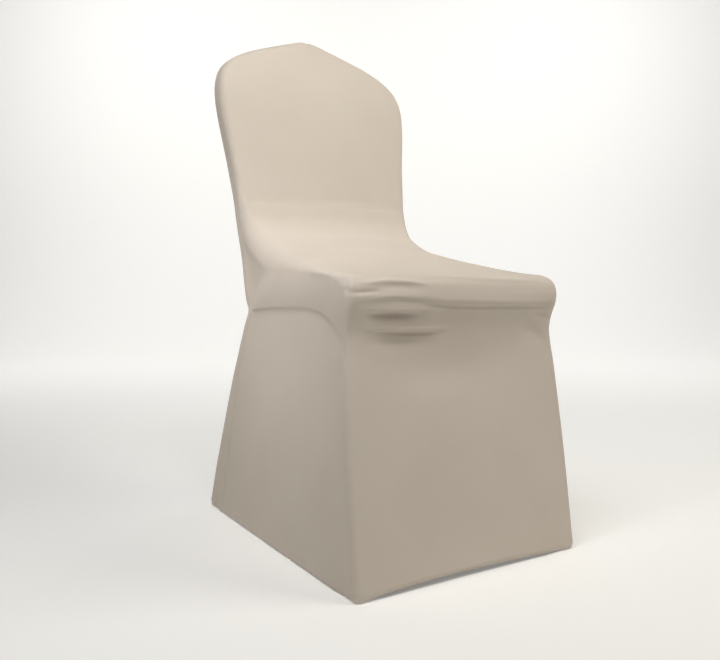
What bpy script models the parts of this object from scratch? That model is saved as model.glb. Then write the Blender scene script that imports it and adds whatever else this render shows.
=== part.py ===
"""A fitted stretch cover for a chair with a crowned back.

Eight pieces of one elastic knit, each a thin sheet in the shape that it takes
when it is stretched over a chair: a front panel, a back panel, two side panels
under the seat, and four foot pockets. The cover is hollow and open below.

Metres, +Z up, +Y towards the back. The tables give depth from the middle of the
footprint and height above the floor. The finished pieces hang from the origin,
which is under the top of the crown, inside the cover.
"""

from typing import NamedTuple

import bmesh
import bpy
import numpy as np

# Driving sizes
HEIGHT = 0.940
BACK_THICKNESS = 0.040
SHEET = 0.0015
SEAM_GAP = 0.0004
HEM_LIFT = 0.0025
WELD = 1e-6

# Edge of the padded back: radius at its front and its rear, and depth of its seam
FRONT_RADIUS = 0.014
REAR_RADIUS = 0.010
SEAM_DEPTH = 0.026
BACK_CROWN = 0.005
FULL_CROWN_ACROSS = 0.171

# Points along each part of a row, from the middle to the seam
FLAT_STEPS = 6
ARC_STEPS = 4
BAND_STEPS = 3
CROWN_ROWS = 13
CROWN_SPREAD = 0.9
BEZIER_ROUND = 0.5523

# Foot pockets
POCKET_RADIUS = 0.0150
POCKET_FLOOR_RADIUS = 0.0090
POCKET_HEIGHT = 0.042
POCKET_CLEARANCE = 0.0006
POCKET_SIDES = 16
POCKET_ROUND_STEPS = 3

CLOTH_COLOUR = (0.58, 0.51, 0.42, 1.0)
CLOTH_ROUGHNESS = 0.82

# How far the taut cloth draws in between the legs, and how far its hem rises there
SIDE_PANEL_HOLLOW = 0.007
SIDE_HOLLOW_POWER = 0.6
FRONT_HEM_ARCH = 0.008
SIDE_HEM_ARCH = 0.002
HEM_ARCH_REACH = 0.12
HEM_ARCH_POWER = 2.5
HEM_ARCH_LEAN = 0.25

# Where the seat's front face starts, which carries the folds, and how fast they set in
FOLD_FACE_Y = -0.215
FOLD_FACE_FADE = 0.02


class OutlinePoint(NamedTuple):
    """A point of the back's half outline, from the crown's peak down."""

    across: float
    height: float


class FacePoint(NamedTuple):
    """How deep the front face of the back lies at a height."""

    height: float
    depth: float


class Row(NamedTuple):
    """One row of a panel: its middle, its rounded edge and its seam."""

    name: str
    steps: int
    mid_y: float
    mid_z: float
    inset: float
    half: float
    edge_y: float
    edge_z: float
    seam_x: float
    seam_y: float
    seam_z: float
    swell: float
    crown: float


class Fold(NamedTuple):
    """A crease in the front: a trough when its depth is positive, a ridge when negative."""

    name: str
    across: float
    height: float
    reach: float
    width: float
    depth: float
    tilt: float
    bend: float


OUTLINE = [
    OutlinePoint(0.0000, HEIGHT),
    OutlinePoint(0.0180, 0.9388),
    OutlinePoint(0.0760, 0.9194),
    OutlinePoint(0.1340, 0.8978),
    OutlinePoint(0.1710, 0.8780),
    OutlinePoint(0.1950, 0.8540),
    OutlinePoint(0.2065, 0.8250),
    OutlinePoint(0.2090, 0.7950),
    OutlinePoint(0.2055, 0.7500),
    OutlinePoint(0.1960, 0.6800),
    OutlinePoint(0.1880, 0.6000),
]

FACE = [
    FacePoint(0.600, 0.1560),
    FacePoint(0.680, 0.1720),
    FacePoint(0.760, 0.1860),
    FacePoint(0.800, 0.1930),
    FacePoint(0.830, 0.1995),
    FacePoint(0.860, 0.2090),
    FacePoint(0.900, 0.2240),
    FacePoint(HEIGHT, 0.2400),
]

FRONT_ROWS = [
    Row("low back", 0, 0.156, 0.6, 0.014, 0.188, 0.17, 0.599, 0.188, 0.182, 0.597, 0.0, 0.005),
    Row("bridge top", 2, 0.14, 0.566, 0.02, 0.1875, 0.161, 0.554, 0.187, 0.169, 0.54, 0.0, 0.004),
    Row("bridge high", 2, 0.117, 0.544, 0.03, 0.187, 0.135, 0.516, 0.1865, 0.15, 0.49, -0.002, 0.002),
    Row("bridge", 2, 0.085, 0.529, 0.04, 0.187, 0.098, 0.493, 0.187, 0.138, 0.442, -0.004, 0.002),
    Row("bridge low", 2, 0.056, 0.517, 0.044, 0.188, 0.064, 0.476, 0.1875, 0.125, 0.412, -0.004, 0.002),
    Row("wing", 2, 0.03, 0.508, 0.044, 0.19, 0.034, 0.466, 0.188, 0.112, 0.3985, 0.001, 0.002),
    Row("seat rear", 2, -0.006, 0.4985, 0.04, 0.1935, -0.001, 0.465, 0.19, 0.072, 0.401, 0.003, 0.002),
    Row("seat back half", 2, -0.046, 0.489, 0.034, 0.1965, -0.044, 0.464, 0.193, 0.01, 0.4045, 0.003, 0.002),
    Row("seat middle", 2, -0.092, 0.48, 0.029, 0.2, -0.092, 0.4625, 0.196, -0.062, 0.4065, 0.003, 0.002),
    Row("seat front half", 2, -0.142, 0.471, 0.024, 0.203, -0.142, 0.4605, 0.199, -0.124, 0.406, 0.003, 0.002),
    Row("seat front", 2, -0.192, 0.4635, 0.02, 0.206, -0.192, 0.457, 0.201, -0.164, 0.4005, 0.003, 0.001),
    Row("edge top", 2, -0.232, 0.4595, 0.018, 0.208, -0.219, 0.446, 0.2025, -0.19, 0.3915, 0.003, 0.001),
    Row("edge round", 2, -0.252, 0.45, 0.018, 0.209, -0.235, 0.435, 0.203, -0.205, 0.383, 0.003, 0.001),
    Row("edge face", 3, -0.2585, 0.433, 0.018, 0.2095, -0.2415, 0.422, 0.2035, -0.2165, 0.372, 0.002, 0.0),
    Row("face low", 3, -0.258, 0.417, 0.018, 0.2085, -0.2425, 0.406, 0.204, -0.224, 0.36, 0.001, 0.0),
    Row("tuck", 3, -0.2525, 0.402, 0.015, 0.205, -0.24, 0.392, 0.2045, -0.228, 0.348, 0.0, -0.001),
    Row("pinch", 4, -0.244, 0.378, 0.01, 0.203, -0.2362, 0.368, 0.2045, -0.2315, 0.337, 0.0, -0.003),
    Row("leg top", 4, -0.246, 0.35, 0.009, 0.2065, -0.239, 0.345, 0.2065, -0.235, 0.324, 0.0, -0.004),
    Row("skirt top", 2, -0.251, 0.315, 0.009, 0.2095, -0.243, 0.312, 0.209, -0.2405, 0.3, 0.0, -0.005),
    Row("skirt high", 3, -0.259, 0.245, 0.009, 0.213, -0.251, 0.243, 0.213, -0.248, 0.24, 0.0, -0.005),
    Row("skirt middle", 3, -0.27, 0.16, 0.009, 0.2165, -0.262, 0.16, 0.2165, -0.259, 0.16, 0.0, -0.004),
    Row("skirt low", 2, -0.282, 0.07, 0.009, 0.218, -0.274, 0.07, 0.218, -0.271, 0.07, 0.0, -0.003),
    Row("hem", 2, -0.291, HEM_LIFT, 0.009, 0.2185, -0.283, HEM_LIFT, 0.2185, -0.28, HEM_LIFT, 0.0, -0.002),
]

# Down to the waist, the back panel's seam is the front panel's
BACK_ROWS = [
    Row("low back", 0, 0.196, 0.6, 0.01, 0.188, 0.186, 0.6, 0.188, 0.182, 0.597, 0.0, 0.004),
    Row("rear high", 2, 0.183, 0.55, 0.01, 0.187, 0.173, 0.547, 0.187, 0.169, 0.54, 0.0, 0.003),
    Row("rear middle", 2, 0.165, 0.495, 0.01, 0.1865, 0.155, 0.493, 0.1865, 0.15, 0.49, 0.0, 0.001),
    Row("rear low", 2, 0.154, 0.445, 0.01, 0.187, 0.144, 0.444, 0.187, 0.138, 0.442, 0.0, 0.0),
    Row("rear waist", 2, 0.144, 0.414, 0.01, 0.1875, 0.1345, 0.4135, 0.1875, 0.125, 0.412, 0.0, 0.0),
    Row("waist", 2, 0.132, 0.396, 0.009, 0.1885, 0.1235, 0.3965, 0.188, 0.112, 0.3985, 0.0, 0.0),
    Row("rear leg top", 2, 0.149, 0.36, 0.009, 0.1915, 0.1405, 0.36, 0.191, 0.13, 0.36, 0.0, -0.002),
    Row("rear skirt high", 2, 0.183, 0.285, 0.008, 0.1945, 0.175, 0.284, 0.1945, 0.157, 0.285, 0.0, -0.004),
    Row("rear skirt middle", 2, 0.219, 0.195, 0.008, 0.1985, 0.211, 0.194, 0.1985, 0.179, 0.195, 0.0, -0.005),
    Row("rear skirt low", 2, 0.254, 0.1, 0.008, 0.202, 0.246, 0.099, 0.202, 0.2, 0.1, 0.0, -0.004),
    Row("rear hem", 2, 0.288, HEM_LIFT, 0.008, 0.205, 0.28, HEM_LIFT, 0.205, 0.222, HEM_LIFT, 0.0, -0.002),
]

FOLDS = [
    Fold("corner trough", -0.150, 0.4415, 0.080, 0.0075, 0.0035, -0.03, 0.0),
    Fold("arched trough", -0.131, 0.4220, 0.092, 0.0070, 0.0035, 0.00, 1.2),
    Fold("deep pocket", -0.138, 0.3990, 0.050, 0.0080, 0.0060, 0.00, 0.0),
    Fold("bright ridge", -0.105, 0.3790, 0.085, 0.0060, -0.0035, -0.03, 0.0),
    Fold("shade under ridge", -0.104, 0.3640, 0.078, 0.0110, 0.0040, -0.03, 0.0),
    Fold("far corner dent", 0.165, 0.3640, 0.040, 0.0120, 0.0030, 0.00, 0.0),
]

WAIST_ROW = next(index for index, row in enumerate(FRONT_ROWS) if row.name == "wing")
LEG_ROW = next(index for index, row in enumerate(FRONT_ROWS) if row.name == "skirt top")
CROWN_MOUNT = np.array([0.0, FACE[-1].depth + SEAM_DEPTH, HEIGHT - SHEET])


def smooth(values, places):
    """Reads a table of numbers at fractional row places, along a smooth curve through its rows."""
    table = np.asarray(values, float)
    ends = np.vstack([2 * table[0] - table[1], table, 2 * table[-1] - table[-2]])
    index = np.minimum(places.astype(int), len(table) - 2)
    part = (places - index)[:, None]
    before, here, there, after = (ends[index + shift] for shift in range(4))
    bent = 2 * before - 5 * here + 4 * there - after
    eased = 3 * here - before - 3 * there + after
    return 0.5 * (2 * here + (there - before) * part + bent * part**2 + eased * part**3)


def row_places(table, first=0, last=None):
    """The fractional rows at which a table is read: each row's steps divide the stretch before it."""
    last = len(table) - 1 if last is None else last
    places = [float(first)]
    for index in range(first + 1, last + 1):
        steps = table[index].steps
        places += [index - 1 + step / steps for step in range(1, steps + 1)]
    return np.array(places)


def section(middle, inner, corner, edge, seam, swell, crown):
    """Points of one row: a flat with a crown, a round corner, and a band down to the seam."""
    inwards = edge - corner
    inwards = inwards / np.linalg.norm(inwards)
    points = []
    for step in range(FLAT_STEPS + 1):
        part = step / FLAT_STEPS
        points.append(middle + (inner - middle) * part - inwards * crown * (1 - part**2))
    near = inner + (corner - inner) * BEZIER_ROUND
    far = edge + (corner - edge) * BEZIER_ROUND
    for step in range(1, ARC_STEPS + 1):
        part = step / ARC_STEPS
        rest = 1 - part
        points.append(
            rest**3 * inner + 3 * rest**2 * part * near + 3 * rest * part**2 * far + part**3 * edge
        )
    for step in range(1, BAND_STEPS + 1):
        part = step / BAND_STEPS
        point = edge + (seam - edge) * part
        point = point + np.array([swell * 4 * part * (1 - part), 0, 0])
        points.append(point)
    return np.array(points)


def face_depth(height):
    """Depth of the front face of the back at a height."""
    return np.interp(height, [point.height for point in FACE], [point.depth for point in FACE])


def crown_outline():
    """Points of the back's half outline, and at each the direction into the back."""
    places = np.linspace(0, 1, CROWN_ROWS) ** CROWN_SPREAD * (len(OUTLINE) - 1)
    outline = smooth(OUTLINE, places)
    along = np.gradient(outline, axis=0)
    along /= np.linalg.norm(along, axis=1)[:, None]
    inwards = np.stack([along[:, 1], -along[:, 0]], axis=1)
    inwards[0] = (0, -1)
    inwards[-1] = (-1, 0)
    return outline, inwards


def crown_rows(set_back, radius, seam_depth, crown):
    """Rows over the crown and down the back's upper part. A negative radius is the rear face's."""
    rows = []
    for (across, height), (in_x, in_z) in zip(*crown_outline()):
        inner_x = max(across + in_x * abs(radius), 0.0)
        inner_z = height + in_z * abs(radius)
        inner_y = face_depth(inner_z) + set_back
        corner = np.array([across, face_depth(height) + set_back, height])
        edge = corner + [0, radius, 0]
        seam = corner + [0, seam_depth, 0]
        middle = np.array([0, inner_y, inner_z])
        swell_here = crown * min(1.0, across / FULL_CROWN_ACROSS)
        rows.append(section(middle, np.array([inner_x, inner_y, inner_z]), corner, edge, seam, 0, swell_here))
    return rows


def table_rows(table):
    """Rows read from a table, after its first one."""
    places = row_places(table)[1:]
    rows = []
    for mid_y, mid_z, inset, half, edge_y, edge_z, seam_x, seam_y, seam_z, swell, crown in smooth(
        [row[2:] for row in table], places
    ):
        rows.append(
            section(
                np.array([0, mid_y, mid_z]),
                np.array([half - inset, mid_y, mid_z]),
                np.array([half, mid_y, mid_z]),
                np.array([half, edge_y, edge_z]),
                np.array([seam_x, seam_y, seam_z]),
                swell,
                crown,
            )
        )
    return rows


def open_seam(half_grid):
    """Draws the last point of each row back from the seam by half the gap."""
    along = half_grid[:, -1] - half_grid[:, -2]
    half_grid[:, -1] -= along / np.linalg.norm(along, axis=1)[:, None] * SEAM_GAP / 2


def both_sides(half_grid):
    """The whole panel, from its left seam over the middle to its right seam."""
    return np.concatenate([half_grid[:, :0:-1] * [-1, 1, 1], half_grid], axis=1)


def seam_directions(grid):
    """The way into the cover at a panel's two side seams, the same for the panels that meet there."""
    inwards = np.zeros_like(grid)
    inwards[:, -1] = (-1, 0, 0)
    crown = crown_outline()[1]
    height = grid[:CROWN_ROWS, -1, 2]
    inwards[:CROWN_ROWS, -1, 0] = crown[:, 0]
    inwards[:CROWN_ROWS, -1, 1] = (face_depth(height + crown[:, 1] * SHEET) - face_depth(height)) / SHEET
    inwards[:CROWN_ROWS, -1, 2] = crown[:, 1]
    inwards[:, 0] = inwards[:, -1] * [-1, 1, 1]
    return inwards


def hem_arch(grid, rise):
    """Lifts the lower rows between the two legs, more at the hem."""
    fade = np.clip(1 - (grid[..., 2] - HEM_LIFT) / HEM_ARCH_REACH, 0, 1) ** 2
    across = grid[..., 0] / np.abs(grid[..., 0]).max()
    grid[..., 2] += rise * fade * (1 - np.abs(across) ** HEM_ARCH_POWER) * (1 - HEM_ARCH_LEAN * across)


def crease(grid):
    """Presses the folds into the front face of the seat and the top of the skirt."""
    x, y, z = grid[..., 0], grid[..., 1], grid[..., 2]
    on_face = np.clip((FOLD_FACE_Y - y) / FOLD_FACE_FADE, 0, 1)
    for fold in FOLDS:
        along = (x - fold.across) / fold.reach
        centre = fold.height + fold.tilt * (x - fold.across) - fold.bend * (x - fold.across) ** 2
        window = np.where(np.abs(along) < 1, np.cos(along * np.pi / 2) ** 2, 0)
        grid[..., 1] += fold.depth * window * np.exp(-(((z - centre) / fold.width) ** 2)) * on_face


def front_grid():
    """Front of the back, bridge, seat with its sides, and front skirt."""
    half = np.array(crown_rows(0, FRONT_RADIUS, SEAM_DEPTH, BACK_CROWN) + table_rows(FRONT_ROWS))
    seam = half[:, -1].copy()
    open_seam(half)
    grid = both_sides(half)
    hem_arch(grid, FRONT_HEM_ARCH)
    crease(grid)
    return grid, seam


def back_grid(front_seam):
    """Rear of the back and rear skirt, whose upper seam follows the front panel's."""
    rows = crown_rows(BACK_THICKNESS, -REAR_RADIUS, SEAM_DEPTH - BACK_THICKNESS, BACK_CROWN)
    half = np.array(rows + table_rows(BACK_ROWS))
    shared = CROWN_ROWS + len(row_places(FRONT_ROWS, 0, WAIST_ROW)) - 1
    move = front_seam[:shared] - half[:shared, -1]
    for step in range(1, BAND_STEPS + 1):
        half[:shared, step - BAND_STEPS - 1] += move * step / BAND_STEPS
    seam = half[:, -1].copy()
    open_seam(half)
    grid = both_sides(half)
    hem_arch(grid, FRONT_HEM_ARCH / 2)
    return grid, seam


def even_fractions(curve):
    """How far along a curve each of its points lies, from 0 to 1."""
    steps = np.linalg.norm(np.diff(curve, axis=0), axis=1)
    return np.concatenate([[0], np.cumsum(steps)]) / steps.sum()


def side_grid(front_seam, back_seam):
    """A side panel, filled in between the arch, the two leg seams and the hem."""
    waist = CROWN_ROWS + len(row_places(FRONT_ROWS, 0, WAIST_ROW)) - 2
    leg = CROWN_ROWS + len(row_places(FRONT_ROWS, 0, LEG_ROW)) - 2
    arch = front_seam[waist : leg + 1]
    front = front_seam[leg:]
    rear = back_seam[waist:]
    across = even_fractions(arch)[None, :, None]
    down = (even_fractions(front) + even_fractions(rear))[:, None, None] / 2
    hem = rear[-1] + (front[-1] - rear[-1]) * across[0]
    hem[:, 2] += SIDE_HEM_ARCH * 4 * across[0, :, 0] * (1 - across[0, :, 0])
    top, bottom = arch[None], hem[None]
    left, right = rear[:, None], front[:, None]
    corners = (1 - down) * ((1 - across) * arch[0] + across * arch[-1]) + down * (
        (1 - across) * hem[0] + across * hem[-1]
    )
    grid = (1 - down) * top + down * bottom + (1 - across) * left + across * right - corners
    hollow = 4 * across[..., 0] * (1 - across[..., 0]) * np.sin(np.pi * down[..., 0] ** SIDE_HOLLOW_POWER)
    grid[..., 0] -= SIDE_PANEL_HOLLOW * hollow
    for edge, next_in in ((grid[0], grid[1]), (grid[:, 0], grid[:, 1]), (grid[:, -1], grid[:, -2])):
        away = next_in - edge
        edge += away / np.linalg.norm(away, axis=1)[:, None] * SEAM_GAP / 2
    return grid


def pocket_grid(side, end):
    """A foot pocket in one corner: a round cup that leans with the leg. end is -1 at the front."""
    table = FRONT_ROWS if end < 0 else BACK_ROWS
    corner, upper = table[-1], table[-2]
    inset = SHEET + POCKET_CLEARANCE + POCKET_RADIUS
    centre = np.array([corner.half - inset, corner.mid_y - end * inset])
    climb = upper.mid_z - corner.mid_z
    lean = np.array([upper.half - corner.half, upper.mid_y - corner.mid_y]) / climb
    rounding = POCKET_RADIUS - POCKET_FLOOR_RADIUS
    profile = [(0.0, 0.0), (POCKET_FLOOR_RADIUS / 2, 0.0), (POCKET_FLOOR_RADIUS, 0.0)]
    for turn in np.linspace(0, np.pi / 2, POCKET_ROUND_STEPS + 1)[1:]:
        profile.append((POCKET_FLOOR_RADIUS + rounding * np.sin(turn), rounding * (1 - np.cos(turn))))
    profile += [(POCKET_RADIUS, POCKET_HEIGHT / 2), (POCKET_RADIUS, POCKET_HEIGHT)]
    grid = []
    for radius, rise in profile:
        ring_x, ring_y = centre + lean * rise
        for turn in np.linspace(0, 2 * np.pi, POCKET_SIDES + 1):
            grid.append((side * ring_x + radius * np.cos(turn), ring_y + radius * np.sin(turn), rise))
    return np.array(grid).reshape(len(profile), POCKET_SIDES + 1, 3)


def cloth_material(name):
    """The knit's plain colour, on a material of the piece's own."""
    material = bpy.data.materials.new(name)
    material.use_nodes = True
    shader = material.node_tree.nodes["Principled BSDF"]
    shader.inputs["Base Color"].default_value = CLOTH_COLOUR
    shader.inputs["Roughness"].default_value = CLOTH_ROUGHNESS
    shader.inputs["Metallic"].default_value = 0.0
    return material


def sheet_piece(name, grid, seam_inwards, turned):
    """Bends a flat grid to the given points, then gives it the cloth's thickness, inwards.

    The grid's faces look along its columns crossed with its rows; turned reverses them.
    seam_inwards gives the way inwards at the seams, and zero where the surface sets it.
    """
    rows, columns = grid.shape[:2]
    bm = bmesh.new()
    bmesh.ops.create_grid(bm, x_segments=columns - 1, y_segments=rows - 1, size=1.0)
    inward = bm.verts.layers.float_vector.new("inward")
    for vert, point, direction in zip(bm.verts, grid.reshape(-1, 3), seam_inwards.reshape(-1, 3)):
        vert.co = point - CROWN_MOUNT
        vert[inward] = direction * SHEET
    bmesh.ops.remove_doubles(bm, verts=bm.verts[:], dist=WELD)
    if turned:
        bmesh.ops.reverse_faces(bm, faces=bm.faces[:])
    bm.normal_update()
    for vert in bm.verts:
        if vert[inward].length == 0:
            vert[inward] = -vert.normal * SHEET
    grown = bmesh.ops.extrude_face_region(bm, geom=bm.faces[:], use_keep_orig=True)
    for item in grown["geom"]:
        if isinstance(item, bmesh.types.BMVert):
            item.co += item[inward]
    bm.verts.layers.float_vector.remove(inward)
    bmesh.ops.recalc_face_normals(bm, faces=bm.faces[:])
    mesh = bpy.data.meshes.new(name)
    bm.to_mesh(mesh)
    bm.free()
    mesh.shade_smooth()
    mesh.materials.append(cloth_material(name + "_knit"))
    piece = bpy.data.objects.new(name, mesh)
    bpy.context.collection.objects.link(piece)
    return piece


def main():
    """Clears the scene and builds the eight pieces."""
    for old in list(bpy.data.objects):
        bpy.data.objects.remove(old, do_unlink=True)
    front, front_seam = front_grid()
    back, back_seam = back_grid(front_seam)
    side = side_grid(front_seam, back_seam)
    sheet_piece("front_panel", front, seam_directions(front), turned=True)
    sheet_piece("back_panel", back, seam_directions(back), turned=False)
    side_inwards = np.zeros_like(side)
    side_inwards[0] = side_inwards[:, 0] = side_inwards[:, -1] = (-1, 0, 0)
    sheet_piece("side_panel_right", side, side_inwards, turned=False)
    sheet_piece("side_panel_left", side * [-1, 1, 1], side_inwards * [-1, 1, 1], turned=True)
    for side_name, side_sign in (("left", -1), ("right", 1)):
        for end_name, end in (("front", -1), ("rear", 1)):
            name = f"foot_pocket_{end_name}_{side_name}"
            pocket = pocket_grid(side_sign, end)
            sheet_piece(name, pocket, np.zeros_like(pocket), turned=False)


main()
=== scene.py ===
"""Looks of a stretch chair cover with a crowned back.

The cover is eight sewn pieces of one elastic knit: a front panel from the crown over
the seat to the hem, a back panel, a panel under the seat on each side, and a pocket
at each corner of the hem. Each is a thin sheet drawn tight, with turned seams and hem
and with the creases that the fit leaves at the front edge of the seat.

Metres, +Z up, +Y towards the back. The tables give depth from the middle of the
footprint and height above the floor; the finished pieces hang from the origin, which
is under the top of the crown.
"""

import logging
import math
from dataclasses import dataclass, replace
from enum import Enum
from typing import NamedTuple

import bmesh
import bpy
import numpy as np
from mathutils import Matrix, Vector
from mathutils.kdtree import KDTree

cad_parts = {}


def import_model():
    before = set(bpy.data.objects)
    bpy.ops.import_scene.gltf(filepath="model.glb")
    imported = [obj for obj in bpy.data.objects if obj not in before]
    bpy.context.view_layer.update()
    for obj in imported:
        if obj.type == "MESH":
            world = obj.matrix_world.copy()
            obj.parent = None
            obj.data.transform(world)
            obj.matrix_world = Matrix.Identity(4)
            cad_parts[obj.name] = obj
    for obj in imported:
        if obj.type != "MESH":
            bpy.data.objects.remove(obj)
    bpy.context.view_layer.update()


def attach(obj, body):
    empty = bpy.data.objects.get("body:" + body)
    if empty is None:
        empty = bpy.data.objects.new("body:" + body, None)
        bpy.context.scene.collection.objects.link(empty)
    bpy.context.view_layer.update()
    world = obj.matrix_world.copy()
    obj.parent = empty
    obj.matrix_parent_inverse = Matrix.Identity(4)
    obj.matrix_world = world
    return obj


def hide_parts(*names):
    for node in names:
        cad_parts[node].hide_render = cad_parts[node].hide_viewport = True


LOG = logging.getLogger("chair_cover")
MM = 0.001
BODY = "root"

# The cover's driving sizes, in metres
HEIGHT = 0.940
BACK_THICKNESS = 0.040
SHEET = 0.0015
SEAM_DEPTH = 0.026
FRONT_RADIUS = 0.014
REAR_RADIUS = 0.010
BACK_CROWN = 0.005
FULL_CROWN_ACROSS = 0.171
HEM_LIFT = 0.0012
POCKET_INSET = 0.0171

# The cloth, and how finely its grids are read
CLOTH = 0.0007
SEAM_GAP = 0.00004
WELD = 1e-6
CROWN_INTERVALS = 12
CROWN_SPREAD = 0.9
SEAM_SAMPLES = 3000
FACE_SAMPLES = 200
BEZIER_ROUND = 0.5523
MIRROR = (-1, 1, 1)
MEASURES = ("seam", "hem", "across", "along")

# Sockets of the math and mix nodes, whose names repeat
FIRST = 0
SECOND = 1
THIRD = 2
MIX_FACTOR = 0
MIX_FROM = 6
MIX_TO = 7
MIX_RESULT = 2


class Slot(Enum):
    """Names of two material slots, which no piece uses."""

    KNIT = "knit"
    FOOT_POCKET = "foot_pocket"


class Face(Enum):
    """A side of the cover that a crease lies on, by the two axes that it is drawn in."""

    FRONT = (0, 2)
    SEAT = (0, 1)


class OutlinePoint(NamedTuple):
    """A point of the back's half outline, from the crown's peak down."""

    across: float
    height: float


class FacePoint(NamedTuple):
    """How deep the front face of the back lies at a height."""

    height: float
    depth: float


class Row(NamedTuple):
    """One row of a panel's right half: its middle, its rounded edge and its seam.

    The inset is how far inside the half width the edge starts to round. The swell moves the
    band beside the seam outwards to the side, and the crown raises the middle of the row.
    """

    name: str
    steps: int
    mid_y: float
    mid_z: float
    inset: float
    half: float
    edge_y: float
    edge_z: float
    seam_x: float
    seam_y: float
    seam_z: float
    swell: float
    crown: float


class Crease(NamedTuple):
    """A soft trough along a line on one side, or a ridge where its depth is negative.

    Millimetres, with the line's points on the side's two axes. A fade under 1 holds the
    depth further towards the line's ends.
    """

    name: str
    face: Face
    line: tuple
    width: float
    depth: float
    fade: float = 1.0


class Wave(NamedTuple):
    """Two crossing waves of uneven cloth, each by its radians a metre along x, y and z."""

    share: float
    first: tuple
    first_start: float
    second: tuple
    second_start: float


OUTLINE = [
    OutlinePoint(0.0, HEIGHT),
    OutlinePoint(0.018, 0.9388),
    OutlinePoint(0.076, 0.9194),
    OutlinePoint(0.134, 0.8978),
    OutlinePoint(0.171, 0.878),
    OutlinePoint(0.195, 0.854),
    OutlinePoint(0.2065, 0.825),
    OutlinePoint(0.209, 0.795),
    OutlinePoint(0.2055, 0.75),
    OutlinePoint(0.196, 0.68),
    OutlinePoint(0.188, 0.6),
]

FACE_PROFILE = [
    FacePoint(0.6, 0.156),
    FacePoint(0.68, 0.172),
    FacePoint(0.76, 0.186),
    FacePoint(0.8, 0.193),
    FacePoint(0.83, 0.1995),
    FacePoint(0.86, 0.209),
    FacePoint(0.9, 0.224),
    FacePoint(HEIGHT, 0.24),
]

FRONT_ROWS = [
    Row("low back", 0, 0.156, 0.6, 0.014, 0.188, 0.17, 0.599, 0.188, 0.182, 0.597, 0.0, 0.005),
    Row("bridge top", 2, 0.14, 0.566, 0.02, 0.1875, 0.161, 0.554, 0.187, 0.169, 0.54, 0.0, 0.004),
    Row("bridge high", 2, 0.117, 0.544, 0.03, 0.187, 0.135, 0.516, 0.1865, 0.15, 0.49, -0.002, 0.002),
    Row("bridge", 2, 0.085, 0.529, 0.04, 0.187, 0.098, 0.493, 0.187, 0.138, 0.442, -0.004, 0.002),
    Row("bridge low", 2, 0.056, 0.517, 0.044, 0.188, 0.064, 0.476, 0.1875, 0.125, 0.412, -0.004, 0.002),
    Row("wing", 2, 0.03, 0.508, 0.044, 0.19, 0.034, 0.466, 0.188, 0.112, 0.3985, 0.001, 0.002),
    Row("seat rear", 2, -0.006, 0.4985, 0.04, 0.1935, -0.001, 0.465, 0.19, 0.072, 0.401, 0.003, 0.002),
    Row("seat backward", 2, -0.046, 0.489, 0.034, 0.1965, -0.044, 0.464, 0.193, 0.01, 0.4045, 0.003, 0.002),
    Row("seat middle", 2, -0.092, 0.48, 0.029, 0.2, -0.092, 0.4625, 0.196, -0.062, 0.4065, 0.003, 0.002),
    Row("seat forward", 2, -0.142, 0.471, 0.024, 0.203, -0.142, 0.4605, 0.199, -0.124, 0.406, 0.003, 0.002),
    Row("seat front", 2, -0.192, 0.4635, 0.02, 0.206, -0.192, 0.457, 0.201, -0.164, 0.4005, 0.003, 0.001),
    Row("edge top", 2, -0.232, 0.4595, 0.018, 0.208, -0.219, 0.446, 0.2025, -0.19, 0.3915, 0.003, 0.001),
    Row("edge round", 2, -0.252, 0.45, 0.018, 0.209, -0.235, 0.435, 0.2025, -0.205, 0.383, 0.003, 0.001),
    Row("edge face", 3, -0.2585, 0.433, 0.018, 0.2095, -0.2415, 0.422, 0.202, -0.2165, 0.372, 0.001, 0.0),
    Row("face low", 3, -0.258, 0.417, 0.020, 0.208, -0.2425, 0.406, 0.2015, -0.224, 0.36, 0.0, 0.0),
    Row("tuck", 3, -0.2525, 0.402, 0.022, 0.2055, -0.2405, 0.392, 0.2015, -0.228, 0.348, 0.0, -0.001),
    Row("pinch", 4, -0.2445, 0.378, 0.022, 0.2045, -0.2375, 0.368, 0.202, -0.2305, 0.337, 0.0, -0.003),
    Row("leg top", 4, -0.2445, 0.35, 0.022, 0.2065, -0.2385, 0.345, 0.205, -0.2345, 0.324, 0.0, -0.004),
    Row("skirt top", 2, -0.2495, 0.315, 0.018, 0.2095, -0.2425, 0.312, 0.2085, -0.24, 0.3, 0.0, -0.005),
    Row("skirt high", 3, -0.259, 0.245, 0.012, 0.213, -0.251, 0.243, 0.213, -0.248, 0.24, 0.0, -0.005),
    Row("skirt middle", 3, -0.27, 0.16, 0.009, 0.2165, -0.262, 0.16, 0.2165, -0.259, 0.16, 0.0, -0.004),
    Row("skirt low", 2, -0.282, 0.07, 0.009, 0.218, -0.274, 0.07, 0.218, -0.271, 0.07, 0.0, -0.003),
    Row("hem", 2, -0.291, HEM_LIFT, 0.009, 0.2185, -0.283, HEM_LIFT, 0.2185, -0.28, HEM_LIFT, 0.0, -0.002),
]

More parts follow.
